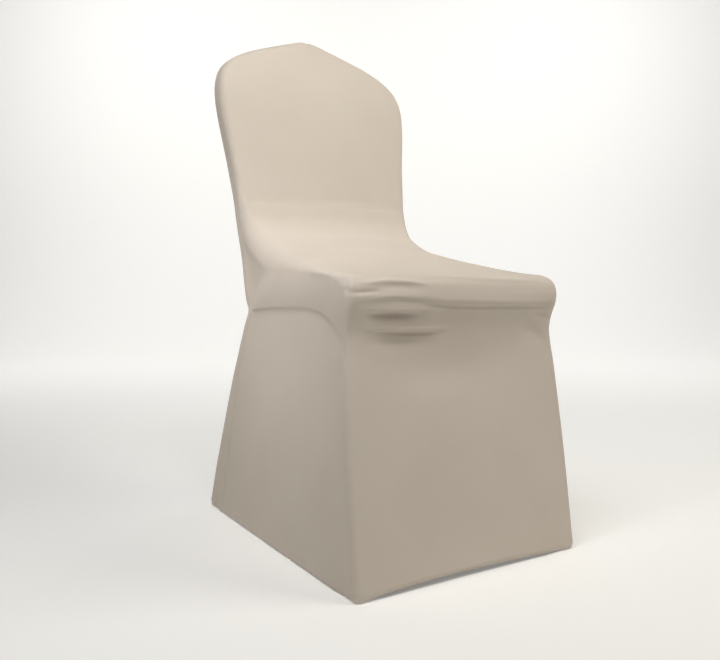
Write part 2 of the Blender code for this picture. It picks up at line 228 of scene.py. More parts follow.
# Down to the waist, the back panel's seam is the front panel's
BACK_ROWS = [
    Row("low back", 0, 0.196, 0.6, 0.01, 0.188, 0.186, 0.6, 0.188, 0.182, 0.597, 0.0, 0.004),
    Row("rear high", 2, 0.183, 0.55, 0.01, 0.187, 0.173, 0.547, 0.187, 0.169, 0.54, 0.0, 0.003),
    Row("rear middle", 2, 0.165, 0.495, 0.01, 0.1865, 0.155, 0.493, 0.1865, 0.15, 0.49, 0.0, 0.001),
    Row("rear low", 2, 0.154, 0.445, 0.01, 0.187, 0.144, 0.444, 0.187, 0.138, 0.442, 0.0, 0.0),
    Row("rear waist", 2, 0.144, 0.414, 0.01, 0.1875, 0.1345, 0.4135, 0.1875, 0.125, 0.412, 0.0, 0.0),
    Row("waist", 2, 0.132, 0.396, 0.009, 0.1885, 0.1235, 0.3965, 0.188, 0.112, 0.3985, 0.0, 0.0),
    Row("rear leg top", 2, 0.149, 0.36, 0.009, 0.1915, 0.1405, 0.36, 0.191, 0.13, 0.36, 0.0, -0.002),
    Row("rear skirt high", 2, 0.183, 0.285, 0.008, 0.1945, 0.175, 0.284, 0.1945, 0.157, 0.285, 0.0, -0.004),
    Row("rear skirt middle", 2, 0.219, 0.195, 0.008, 0.1985, 0.211, 0.194, 0.1985, 0.179, 0.195, 0.0, -0.005),
    Row("rear skirt low", 2, 0.254, 0.1, 0.008, 0.202, 0.246, 0.099, 0.202, 0.2, 0.1, 0.0, -0.004),
    Row("rear hem", 2, 0.288, HEM_LIFT, 0.008, 0.205, 0.28, HEM_LIFT, 0.205, 0.222, HEM_LIFT, 0.0, -0.002),
]

CREASES = [
    Crease("short edge tuck", Face.SEAT, ((-197, -227), (-178, -228), (-150, -229)), 3.0, 4.0),
    Crease(
        "edge welt",
        Face.FRONT,
        ((-200, 455.5), (-140, 457), (-60, 456), (60, 453), (170, 451)),
        3.0,
        -2.8,
        0.4,
    ),
    Crease(
        "corner roll",
        Face.FRONT,
        ((-190, 445.5), (-149, 449), (-123, 449), (-96, 447.5), (-64, 444)),
        3.0,
        -3.2,
        1.2,
    ),
    Crease("hollow under roll", Face.FRONT, ((-180, 439), (-123, 442), (-70, 437)), 6.0, 1.8),
    Crease("second trough", Face.FRONT, ((-214, 432), (-184, 434), (-150, 435)), 3.4, 2.0),
    Crease(
        "arched roll",
        Face.FRONT,
        ((-200, 417), (-158, 425.5), (-132, 427), (-105, 425.5), (-60, 419)),
        3.0,
        -1.2,
    ),
    Crease(
        "arched trough",
        Face.FRONT,
        (
            (-208, 412),
            (-184, 416),
            (-158, 420),
            (-132, 421.5),
            (-105, 420),
            (-77, 417),
            (-49, 413),
            (-12, 409),
        ),
        5.0,
        2.8,
        0.7,
    ),
    Crease(
        "roll over tuck",
        Face.FRONT,
        ((-188, 407.5), (-150, 407.8), (-110, 407.6), (-60, 407)),
        2.8,
        -3.3,
    ),
    Crease(
        "deep tuck",
        Face.FRONT,
        ((-182, 400.5), (-155, 400), (-130, 399.5), (-104, 399), (-70, 399.5)),
        6.0,
        8.6,
    ),
    Crease("slope under tuck", Face.FRONT, ((-190, 392), (-130, 391), (-50, 391)), 9.0, 2.0),
    Crease(
        "bright ridge",
        Face.FRONT,
        ((-185, 381), (-160, 380.5), (-122, 379.5), (-78, 377.8), (-10, 376)),
        2.7,
        -4.3,
    ),
    Crease(
        "hollow under ridge",
        Face.FRONT,
        ((-165, 373.5), (-135, 373), (-96, 372), (-30, 370)),
        4.2,
        4.4,
    ),
    Crease("shade under hollow", Face.FRONT, ((-180, 361.5), (-120, 360.5), (-40, 360)), 11.0, 7.0),
    Crease("easing into skirt", Face.FRONT, ((-190, 324), (-80, 317), (130, 320)), 34.0, 4.6),
    Crease(
        "cushion's lower roll",
        Face.FRONT,
        ((-70, 420), (-9, 419), (73, 417), (202, 415)),
        6.0,
        -1.3,
        0.4,
    ),
    Crease(
        "cushion's lower edge",
        Face.FRONT,
        ((-80, 411), (-9, 409.5), (73, 408), (206, 406)),
        3.8,
        2.2,
        0.4,
    ),
    Crease("far corner dent", Face.FRONT, ((129, 373), (163, 365), (195, 342)), 11.0, 3.2),
    Crease("far corner tuck", Face.FRONT, ((150, 394), (180, 392), (206, 388)), 5.0, 2.4),
]

# Cloth drawn over padding is never quite even
UNEVENNESS = [
    Wave(1.0, (23, 0, 11), 1.3, (0, -9, 17), 0.4),
    Wave(0.6, (41, 0, -19), 2.1, (0, 29, 37), 0.0),
    Wave(0.35, (31, 0, 83), 0.7, (61, -47, 0), 0.0),
]


def unit(vectors: np.ndarray) -> np.ndarray:
    """Vectors at length one.

    Args:
        vectors: Any array whose last axis is a vector.

    Returns:
        The same directions, with zero vectors left at zero.
    """
    length = np.linalg.norm(vectors, axis=-1, keepdims=True)
    return vectors / np.where(length > 0, length, 1)


def smooth(values: list, places: np.ndarray) -> np.ndarray:
    """Reads a table at fractional row places, along a smooth curve through its rows.

    Args:
        values: The table's numbers, one row each.
        places: Where to read it, from 0 to the last row's index.

    Returns:
        One row of numbers for each place.
    """
    table = np.asarray(values, float)
    ends = np.vstack([2 * table[0] - table[1], table, 2 * table[-1] - table[-2]])
    index = np.minimum(places.astype(int), len(table) - 2)
    part = (places - index)[:, None]
    before, here, there, after = (ends[index + shift] for shift in range(4))
    bent = 2 * before - 5 * here + 4 * there - after
    eased = 3 * here - before - 3 * there + after
    return 0.5 * (2 * here + (there - before) * part + bent * part**2 + eased * part**3)


def resampled(curve: np.ndarray, count: int) -> np.ndarray:
    """A curve's points, set evenly along it.

    Args:
        curve: Points along the curve.
        count: How many points to give back.

    Returns:
        The evenly spaced points.
    """
    steps = np.linalg.norm(np.diff(curve, axis=0), axis=1)
    along = np.concatenate([[0], np.cumsum(steps)])
    even = np.linspace(0, along[-1], count)
    return np.stack([np.interp(even, along, curve[:, axis]) for axis in range(3)], axis=1)


def distances(points: np.ndarray, curves: list) -> np.ndarray:
    """How far each point of a grid is from the nearest of some curves.

    Args:
        points: The grid.
        curves: Points along each curve. With none, everything is a metre away.

    Returns:
        Metres, by row and column.
    """
    if not curves:
        return np.full(points.shape[:2], 1.0)
    fine = np.concatenate([resampled(curve, SEAM_SAMPLES) for curve in curves])
    tree = KDTree(len(fine))
    for index, place in enumerate(fine.tolist()):
        tree.insert(place, index)
    tree.balance()
    found = [tree.find(place)[2] for place in points.reshape(-1, 3).tolist()]
    return np.array(found).reshape(points.shape[:2])


@dataclass(frozen=True)
class RowParts:
    """The points that a set of rows is drawn from, one entry for each row."""

    middle: np.ndarray
    inner: np.ndarray
    corner: np.ndarray
    edge: np.ndarray
    seam: np.ndarray
    swell: np.ndarray
    crown: np.ndarray

    def joined(self, other: "RowParts") -> "RowParts":
        """These rows with another set below them."""
        pairs = zip(vars(self).values(), vars(other).values())
        return RowParts(*(np.concatenate(pair) for pair in pairs))


@dataclass(frozen=True)
class Columns:
    """How many points a half row has on its flat, its round edge and its band to the seam."""

    flat: int
    arc: int
    band: int
    crowding: float = 1.7

    def band_fractions(self) -> np.ndarray:
        """How far along the band its points lie, closer together at the seam."""
        return 1 - (1 - np.linspace(0, 1, self.band + 1)[1:]) ** self.crowding

    def draw(self, parts: RowParts) -> np.ndarray:
        """Draws half rows.

        Args:
            parts: What the rows are drawn from.

        Returns:
            Points by row and column, from the middle to the seam.
        """
        middle, inner, corner, edge, seam = (
            points[:, None] for points in (parts.middle, parts.inner, parts.corner, parts.edge, parts.seam)
        )
        flat = np.linspace(0, 1, self.flat + 1)[None, :, None]
        bulge = unit(edge - corner) * parts.crown[:, None, None]
        flats = middle + (inner - middle) * flat - bulge * (1 - flat**2)
        turn = np.linspace(0, 1, self.arc + 1)[None, 1:, None]
        rest = 1 - turn
        near = inner + (corner - inner) * BEZIER_ROUND
        far = edge + (corner - edge) * BEZIER_ROUND
        arcs = rest**3 * inner + 3 * rest**2 * turn * near + 3 * rest * turn**2 * far + turn**3 * edge
        band = self.band_fractions()[None, :, None]
        bands = edge + (seam - edge) * band
        bands[..., 0] += parts.swell[:, None] * 4 * band[..., 0] * (1 - band[..., 0])
        return np.concatenate([flats, arcs, bands], axis=1)


@dataclass
class Cloth:
    """A sheet as a grid of points, with each point's distance to its seams and hem.

    Rows run from the top down. outward is +1 where across x down points out of the cover.
    A peaked sheet is folded over the crown, so its first row runs out and back on one line.
    """

    points: np.ndarray
    outward: int
    peaked: bool = False
    seam: np.ndarray | None = None
    arch: np.ndarray | None = None
    hem: np.ndarray | None = None
    across: np.ndarray | None = None
    along: np.ndarray | None = None

    def measure(self, arch: np.ndarray | None = None, seams: bool = True) -> None:
        """Works out each point's flat place, and how far it is from the seams and the hem.

        Args:
            arch: For a panel under the seat, the arched part of its seam.
            seams: Whether the first and last columns are seams.
        """
        steps = np.linalg.norm(np.diff(self.points, axis=1), axis=2)
        run = np.concatenate([np.zeros((len(steps), 1)), np.cumsum(steps, axis=1)], axis=1)
        drops = np.linalg.norm(np.diff(self.points, axis=0), axis=2)
        fall = np.concatenate([np.zeros((1, drops.shape[1])), np.cumsum(drops, axis=0)], axis=0)
        middle = self.points.shape[1] // 2
        self.across = run - run[:, middle : middle + 1]
        self.along = np.broadcast_to(fall[:, middle : middle + 1], run.shape).copy()
        self.hem = fall[-1:] - fall
        self.seam = distances(self.points, [self.points[:, 0], self.points[:, -1]] if seams else [])
        if arch is not None:
            self.arch = distances(self.points, [arch])
            self.across = self.points[..., 1].copy()
            self.along = HEIGHT - self.points[..., 2]

    def normals(self) -> np.ndarray:
        """The outward direction at each point, from the cells round it.

        Returns:
            Unit vectors, by row and column.
        """
        grid = self.points
        falling = grid[1:, 1:] - grid[:-1, :-1]
        rising = grid[:-1, 1:] - grid[1:, :-1]
        cells = np.cross(rising, falling) * self.outward
        normal = np.zeros_like(grid)
        for row, column in ((0, 0), (0, 1), (1, 0), (1, 1)):
            normal[row : row + len(cells), column : column + cells.shape[1]] += cells
        middle = grid.shape[1] // 2
        one_place = np.linalg.norm(grid - grid[:, middle : middle + 1], axis=2) < WELD
        for row in np.flatnonzero(one_place.sum(axis=1) > 1):
            normal[row, one_place[row]] = normal[row, one_place[row]].sum(axis=0)
        if self.peaked:
            normal[0, :, 0] = 0
        return unit(normal)

    def push(self, distance: np.ndarray) -> None:
        """Moves the cloth along its outward directions, in metres."""
        self.points = self.points + self.normals() * distance[..., None]

    def widened(self, rings: int, depth: np.ndarray) -> "Cloth":
        """The cloth with columns added at both sides, pressed inwards.

        Args:
            rings: How many columns are added on each side.
            depth: How far each point of the new grid lies inside the old surface.

        Returns:
            The wider cloth.
        """
        width = ((0, 0), (rings, rings))
        points = np.pad(self.points, (*width, (0, 0)), mode="edge")
        normals = np.pad(self.normals(), (*width, (0, 0)), mode="edge")
        fields = {name: np.pad(getattr(self, name), width, mode="edge") for name in MEASURES}
        return replace(self, points=points - normals * depth[..., None], **fields)


@dataclass(frozen=True)
class Sewing:
    """How the pieces are sewn: turned seams with an allowance inside, and a turned hem.

    Millimetres. The wrapped panels roll over the allowance, and the panels under the seat
    are drawn in beside it.
    """

    groove_width: float = 1.5
    groove_depth: float = 0.12
    roll_place: float = 3.2
    roll_height: float = 0.42
    dip_place: float = 6.0
    arch_dip: float = 1.8
    leg_dip: float = 0.5
    allowance: tuple = (0.12, 0.6, 2.2, 5.0)
    hem_depth: float = 20.0
    hem_swell: float = 0.35
    hem_ease: float = 0.8
    hem_layer: float = 1.5
    hem_bulge: float = 0.3
    hem_folds: tuple = (0.12, 0.5, 1.0)
    stitch_sink: float = 0.4
    stitch_width: float = 1.4

    @staticmethod
    def beside(away: np.ndarray, place: float) -> np.ndarray:
        """A soft rise from nothing at the seam to 1 at a place beside it, and off again."""
        return away / place * np.exp(1 - away / place)

    def relief(self, cloth: Cloth) -> np.ndarray:
        """How far the seams and the hem raise the cloth.

        Args:
            cloth: A measured cloth.

        Returns:
            Metres outwards, by point.
        """
        seam = cloth.seam / MM
        past_hem = cloth.hem / MM - self.hem_depth
        groove = -self.groove_depth * np.exp(-((seam / self.groove_width) ** 2))
        if cloth.arch is None:
            roll = self.roll_height * self.beside(seam, self.roll_place)
        else:
            near_arch = np.exp((seam - cloth.arch / MM) / self.dip_place)
            dip = self.leg_dip + (self.arch_dip - self.leg_dip) * near_arch
            roll = -dip * self.beside(seam, self.dip_place)
        doubled = self.hem_swell * (1 - np.tanh(past_hem / self.hem_ease / 2)) / 2
        stitch_line = -self.stitch_sink * np.exp(-((past_hem / self.stitch_width) ** 2))
        return (groove + roll + doubled + stitch_line) * MM

    def turn_seams(self, cloth: Cloth) -> Cloth:
        """Turns the seam allowance inwards at both sides.

        Args:
            cloth: A pressed cloth.

        Returns:
            The cloth with its allowance.
        """
        rings = len(self.allowance)
        rows, columns = cloth.points.shape[:2]
        depth = np.zeros((rows, columns + 2 * rings))
        for ring, drop in enumerate(self.allowance, start=1):
            depth[:, rings - ring] = drop
            depth[:, columns + rings + ring - 1] = drop
        return cloth.widened(rings, depth * MM)

    def turn_hem(self, cloth: Cloth) -> Cloth:
        """Folds the lowest part of the cloth up inside it, in a row at the fold and three above.

        Args:
            cloth: A cloth with its seams turned.

        Returns:
            The cloth with its hem.
        """
        reach = cloth.hem[:, cloth.points.shape[1] // 2]
        heights = np.array(self.hem_folds) * self.hem_depth * MM
        above = [int(np.argmin(np.abs(reach - height))) for height in heights]
        last = len(cloth.points) - 1
        order = [*range(last + 1), last, *above]
        depth = np.zeros(len(order))
        depth[last + 1] = self.hem_layer / 2
        depth[last + 2 :] = self.hem_layer
        points = cloth.points[order] - cloth.normals()[order] * depth[:, None, None] * MM
        points[last + 1, :, 2] -= self.hem_bulge * MM
        fields = {name: getattr(cloth, name)[order] for name in MEASURES}
        return replace(cloth, points=points, **fields)


@dataclass(frozen=True)
class Creasing:
    """Presses in the listed creases, and the slight unevenness of drawn cloth.

    The unevenness is in millimetres, and the places where a side starts or fades are in metres.
    """

    creases: tuple
    waves: tuple
    uneven: float = 0.35
    calm_reach: float = 0.02
    front_from: float = -0.212
    front_fade: float = 0.02
    seat_from: float = 0.44
    seat_fade: float = 0.01
    seat_top: float = 0.60
    seat_top_fade: float = 0.04

    def on_face(self, face: Face, points: np.ndarray) -> np.ndarray:
        """How far each point belongs to a side of the cover.

        Args:
            face: The side.
            points: The cloth's grid.

        Returns:
            From 0 off the side to 1 on it, by point.
        """
        if face is Face.FRONT:
            return np.clip((self.front_from - points[..., 1]) / self.front_fade, 0, 1)
        height = points[..., 2]
        above_edge = np.clip((height - self.seat_from) / self.seat_fade, 0, 1)
        return above_edge * np.clip((self.seat_top - height) / self.seat_top_fade, 0, 1)

    @staticmethod
    def press(crease: Crease, points: np.ndarray) -> np.ndarray:
        """How far one crease presses the cloth in.

        Args:
            crease: The crease.
            points: The cloth's grid.

        Returns:
            Millimetres inwards, by point.
        """
        place = points[..., list(crease.face.value)]
        line = np.array(crease.line) * MM
        lengths = np.linalg.norm(np.diff(line, axis=0), axis=1)
        starts = np.concatenate([[0], np.cumsum(lengths)])
        nearest = np.full(place.shape[:2], np.inf)
        along = np.zeros(place.shape[:2])
        for start, end, length, before in zip(line[:-1], line[1:], lengths, starts[:-1]):
            part = np.clip(((place - start) @ (end - start)) / length**2, 0, 1)
            gap = np.linalg.norm(place - (start + part[..., None] * (end - start)), axis=2)
            closer = gap < nearest
            nearest = np.where(closer, gap, nearest)
            along = np.where(closer, (before + part * length) / starts[-1], along)
        ends = np.sin(np.pi * np.clip(along, 0, 1)) ** crease.fade
        return crease.depth * ends * np.exp(-((nearest / MM / crease.width) ** 2))

    def relief(self, cloth: Cloth) -> np.ndarray:
        """How far the creases and the unevenness move the cloth.

        Args:
            cloth: A measured cloth.

        Returns:
            Metres outwards, by point.
        """
        total = np.zeros(cloth.points.shape[:2])
        for crease in self.creases:
            total -= self.press(crease, cloth.points) * self.on_face(crease.face, cloth.points)
        calm = np.clip(cloth.seam / self.calm_reach, 0, 1)
        for wave in self.waves:
            first = np.sin(cloth.points @ wave.first + wave.first_start)
            second = np.sin(cloth.points @ wave.second + wave.second_start)
            total += self.uneven * wave.share * first * second * calm
        return total * MM


@dataclass(frozen=True)
class CoverForm:
    """The stretched cover's surfaces, read finely from its tables."""

    fineness: int = 4
    front_columns: Columns = Columns(flat=40, arc=11, band=34)
    back_columns: Columns = Columns(flat=30, arc=9, band=16)
    side_rows: int = 160
    side_columns: int = 72
    side_crowding: float = 0.5
    side_hollow: float = 0.007
    side_hollow_power: float = 0.9
    front_hem_arch: float = 0.0075
    back_hem_arch: float = 0.00375
    side_hem_arch: float = 0.0005
    side_hem_power: float = 160.0
    hem_reach: float = 0.12
    hem_power: float = 2.5
    hem_lean: float = 0.45
    settling: int = 2500
    corner_height: float = 0.012
    corner_tuck: float = 0.0044
    corner_near: float = 0.027
    corner_reach: float = 0.048

    def face_depth(self, height: np.ndarray) -> np.ndarray:
        """Reads how deep the front face of the back lies.

        Args:
            height: Heights above the floor.

        Returns:
            The depth at each height.
        """
        places = np.linspace(0, len(FACE_PROFILE) - 1, FACE_SAMPLES)
        heights, depths = smooth(FACE_PROFILE, places).T
        return np.interp(height, heights, depths)

    def upper_parts(self, set_back: float, radius: float, seam_depth: float) -> RowParts:
        """Rows over the crown and down the upper part of the back.

        Args:
            set_back: How far behind the front face this face lies.
            radius: The edge's radius, negative where it rounds towards the front.
            seam_depth: How far behind this face the seam lies.

        Returns:
            The rows' parts.
        """
        count = CROWN_INTERVALS * self.fineness + 1
        places = np.linspace(0, 1, count) ** CROWN_SPREAD * (len(OUTLINE) - 1)
        outline = smooth(OUTLINE, places)
        along = unit(np.gradient(outline, axis=0))
        inwards = np.stack([along[:, 1], -along[:, 0]], axis=1)
        inwards[0] = (0, -1)
        inwards[-1] = (-1, 0)
        across, height = outline.T
        inner_x = np.maximum(across + inwards[:, 0] * abs(radius), 0)
        inner_z = height + inwards[:, 1] * abs(radius)
        inner_y = self.face_depth(inner_z) + set_back
        corner = np.stack([across, self.face_depth(height) + set_back, height], axis=1)
        zero = np.zeros(count)
        return RowParts(
            middle=np.stack([zero, inner_y, inner_z], axis=1),
            inner=np.stack([inner_x, inner_y, inner_z], axis=1),
            corner=corner,
            edge=corner + [0, radius, 0],
            seam=corner + [0, seam_depth, 0],
            swell=zero,
            crown=BACK_CROWN * np.minimum(1, across / FULL_CROWN_ACROSS),
        )

    def places(self, table: list, last: int) -> np.ndarray:
        """Where a table is read, in fractional rows after its first one.

        Args:
            table: A panel's rows.
            last: The index of the row that it is read down to.

        Returns:
            The places, from the top down.
        """
        found = []
        for index in range(1, last + 1):
            steps = table[index].steps * self.fineness
            found += [index - 1 + step / steps for step in range(1, steps + 1)]
        return np.array(found)

    def table_parts(self, table: list) -> RowParts:
        """Rows below the upper part of the back.

        Args:
            table: A panel's rows, of which the first is the last one of the upper part.

        Returns:
            The rows' parts.
        """
        values = smooth([row[2:] for row in table], self.places(table, len(table) - 1))
        mid_y, mid_z, inset, half, edge_y, edge_z, seam_x, seam_y, seam_z, swell, crown = values.T
        zero = np.zeros(len(values))
        return RowParts(
            middle=np.stack([zero, mid_y, mid_z], axis=1),
            inner=np.stack([half - inset, mid_y, mid_z], axis=1),
            corner=np.stack([half, mid_y, mid_z], axis=1),
            edge=np.stack([half, edge_y, edge_z], axis=1),
            seam=np.stack([seam_x, seam_y, seam_z], axis=1),
            swell=swell,
            crown=crown,
        )

    def row_index(self, table: list, name: str) -> int:
        """The index, in a whole panel, of the row that a table names."""
        last = next(index for index, row in enumerate(table) if row.name == name)
        return CROWN_INTERVALS * self.fineness + len(self.places(table, last))

    @staticmethod
    def whole(half: np.ndarray, band: int) -> np.ndarray:
        """A panel from half of it, with the band to each seam drawn back by half the seam's gap.

        Args:
            half: Points from the middle to the right seam.
            band: How many columns the band has.

        Returns:
            Points from the left seam to the right one.
        """
        half = half.copy()
        edge = half[:, -band - 1 : -band]
        length = np.linalg.norm(half[:, -1:] - edge, axis=2, keepdims=True)
        half[:, -band:] = edge + (half[:, -band:] - edge) * (1 - SEAM_GAP / 2 / length)
        return np.concatenate([half[:, :0:-1] * MIRROR, half], axis=1)

    def arch_hem(self, points: np.ndarray, rise: float) -> None:
        """Lifts the lower rows between two corners, more at the hem and towards the left.

        Args:
            points: A whole panel's grid, which is changed.
            rise: How far the hem is lifted at its middle.
        """
        fade = np.clip(1 - (points[..., 2] - HEM_LIFT) / self.hem_reach, 0, 1) ** 2
        across = points[..., 0] / np.abs(points[..., 0]).max()
        arch = (1 - np.abs(across) ** self.hem_power) * (1 - self.hem_lean * across)
        points[..., 2] += rise * fade * arch

    def front(self) -> tuple[np.ndarray, np.ndarray]:
        """Draws the front panel.

        Returns:
            The panel's points, and those of its right seam.
        """
        upper = self.upper_parts(0, FRONT_RADIUS, SEAM_DEPTH)
        half = self.front_columns.draw(upper.joined(self.table_parts(FRONT_ROWS)))
        points = self.whole(half, self.front_columns.band)
        self.arch_hem(points, self.front_hem_arch)
        self.tuck_in_corners(points)
        return points, half[:, -1]

    def back(self, front_seam: np.ndarray) -> tuple[np.ndarray, np.ndarray]:
        """Draws the back panel, whose seam follows the front panel's down to the waist.

        Args:
            front_seam: The front panel's right seam.

        Returns:
            The panel's points, and those of its right seam.
        """
        upper = self.upper_parts(BACK_THICKNESS, -REAR_RADIUS, SEAM_DEPTH - BACK_THICKNESS)
        half = self.back_columns.draw(upper.joined(self.table_parts(BACK_ROWS)))
        shared = self.row_index(BACK_ROWS, "waist") + 1
        move = front_seam[:shared] - half[:shared, -1]
        fractions = self.back_columns.band_fractions()
        half[:shared, -len(fractions) :] += move[:, None] * fractions[None, :, None]
        points = self.whole(half, self.back_columns.band)
        self.arch_hem(points, self.back_hem_arch)
        self.tuck_in_corners(points)
        return points, half[:, -1]

    def side(self, front_seam: np.ndarray, back_seam: np.ndarray) -> np.ndarray:
        """Draws the right side panel, in rows that fan out from the waist between its seams.

        Args:
            front_seam: The front panel's right seam.
            back_seam: The back panel's right seam.

        Returns:
            The panel's points.
        """
        front_waist = self.row_index(FRONT_ROWS, "wing")
        back_waist = self.row_index(BACK_ROWS, "waist")
        front = resampled(front_seam[front_waist:], self.side_rows + 1)[:, None]
        rear = resampled(back_seam[back_waist:], self.side_rows + 1)[:, None]
        even = np.linspace(0, 1, self.side_columns + 1)
        crowded = (1 - np.cos(np.pi * even)) / 2
        across = (even + (crowded - even) * self.side_crowding)[None, :, None]
        down = np.linspace(0, 1, self.side_rows + 1)[:, None]
        bow = 4 * across[..., 0] * (1 - across[..., 0])
        points = rear + (front - rear) * across
        self.settle(points)
        points[..., 0] -= self.side_hollow * bow * np.sin(np.pi * down**self.side_hollow_power)
        points[..., 2] += self.side_hem_arch * bow * down**self.side_hem_power
        centre = (points[1:, :1] + points[1:, -1:]) / 2
        length = np.linalg.norm(points[1:, -1:] - points[1:, :1], axis=2, keepdims=True)
        points[1:] = centre + (points[1:] - centre) * (1 - SEAM_GAP / length)
        self.tuck_in_corners(points)
        return points

    def settle(self, points: np.ndarray) -> None:
        """Lets cloth settle sideways between its edges, as a stretched sheet does.

        Args:
            points: The cloth's grid, which is changed inside its edges.
        """
        x = points[..., 0]
        for _ in range(self.settling):
            x[1:-1, 1:-1] = (x[:-2, 1:-1] + x[2:, 1:-1] + x[1:-1, :-2] + x[1:-1, 2:]) / 4

    def tuck_in_corners(self, points: np.ndarray) -> None:
        """Rounds the skirt's lowest part in round the pocket at each corner.

        Args:
            points: A panel's grid, which is changed.
        """
        for end, corner in ((-1, FRONT_ROWS[-1]), (1, BACK_ROWS[-1])):
            for side in (-1, 1):
                centre = (side * (corner.half - POCKET_INSET), corner.mid_y - end * POCKET_INSET)
                plan = points[..., :2] - centre
                away = np.linalg.norm(plan, axis=2)
                drop = np.clip(1 - points[..., 2] / self.corner_height, 0, 1)
                fade = np.clip((self.corner_reach - away) / (self.corner_reach - self.corner_near), 0, 1)
                tuck = self.corner_tuck * (1 - np.sqrt(1 - drop**2)) * (away / POCKET_INSET) ** 2 * fade
                points[..., :2] -= unit(plan) * tuck[..., None]

    def below_arch(self, front_seam: np.ndarray) -> np.ndarray:
        """The arched part of the right side panel's seam."""
        return front_seam[self.row_index(FRONT_ROWS, "wing") : self.row_index(FRONT_ROWS, "skirt top") + 1]


@dataclass(frozen=True)
class FootPocket:
    """A small gathered cup of doubled knit inside one corner of the hem."""

    radius: float = 0.0150
    floor_radius: float = 0.0090
    height: float = 0.042
    sides: int = 96
    floor_rings: int = 4
    bend_rings: int = 9
    wall_rings: int = 24
    pleats: int = 11
    pleat_share: float = 0.5
    tucks: int = 7
    tuck_share: float = 0.3
    pleat_depth: float = 0.0007
    gather_power: float = 0.7

    def profile(self) -> tuple[np.ndarray, np.ndarray]:
        """The cup's section, from the middle of its floor round the bend and up to its mouth.

        Returns:
            The radius of each ring, and its height.
        """
        rounding = self.radius - self.floor_radius
        bend = np.linspace(0, np.pi / 2, self.bend_rings)
        floor = np.linspace(0, self.floor_radius, self.floor_rings + 1)[:-1]
        wall = np.linspace(rounding, self.height, self.wall_rings + 1)[1:]
        radii = [floor, self.floor_radius + rounding * np.sin(bend), np.full(self.wall_rings, self.radius)]
        rises = [np.zeros(self.floor_rings), rounding * (1 - np.cos(bend)), wall]
        return np.concatenate(radii)[:, None], np.concatenate(rises)[:, None]

    def points(self, side: int, end: int) -> np.ndarray:
        """The cup's grid, leaning with the skirt's corner above it.

        Args:
            side: -1 at the left and 1 at the right.
            end: -1 at the front and 1 at the rear.

        Returns:
            Points by ring and turn.
        """
        table = FRONT_ROWS if end < 0 else BACK_ROWS
        corner = table[-1]
        upper = table[-2]
        centre_x = corner.half - POCKET_INSET
        centre_y = corner.mid_y - end * POCKET_INSET
        rise = upper.mid_z - corner.mid_z
        lean_x = (upper.half - corner.half) / rise
        lean_y = (upper.mid_y - corner.mid_y) / rise
        radii, rises = self.profile()
        turns = np.linspace(0, math.tau, self.sides + 1)[None, :]
        rounding = self.radius - self.floor_radius
        gather = np.clip((rises - rounding) / (self.height - rounding), 0, 1) ** self.gather_power
        pleats = self.pleat_share * np.cos(self.pleats * turns + side)
        tucks = self.tuck_share * np.cos(self.tucks * turns + 2 * end)
        waves = pleats + tucks - self.pleat_share - self.tuck_share
        wall = radii + self.pleat_depth * gather * waves
        ring_x = side * (centre_x + lean_x * rises) + wall * np.cos(turns)
        ring_y = centre_y + lean_y * rises + wall * np.sin(turns)
        return np.stack([ring_x, ring_y, np.broadcast_to(rises, wall.shape)], axis=2)


def linear_colour(code: str) -> tuple[float, float, float, float]:
    """A shader's colour from an sRGB hex code.

    Args:
        code: Such as "#C8B9A6".

    Returns:
        Linear red, green and blue, with alpha 1.
    """
    parts = [int(code[start : start + 2], 16) / 255 for start in (1, 3, 5)]
    linear = (part / 12.92 if part <= 0.04045 else ((part + 0.055) / 1.055) ** 2.4 for part in parts)
    return (*linear, 1.0)


def add_node(tree: bpy.types.NodeTree, kind: str, settings: dict, links: dict) -> bpy.types.Node:
    """Adds a shader node.

    Args:
        tree: The tree that it goes into.
        kind: Its type.
        settings: Values by attribute name, or by input name or index.
        links: Output sockets by the input's name or index.

    Returns:
        The node.
    """
    node = tree.nodes.new(kind)
    for key, value in settings.items():
        if isinstance(key, str) and hasattr(node, key):
            setattr(node, key, value)
        else:
            node.inputs[key].default_value = value
    for key, socket in links.items():
        tree.links.new(socket, node.inputs[key])
    return node


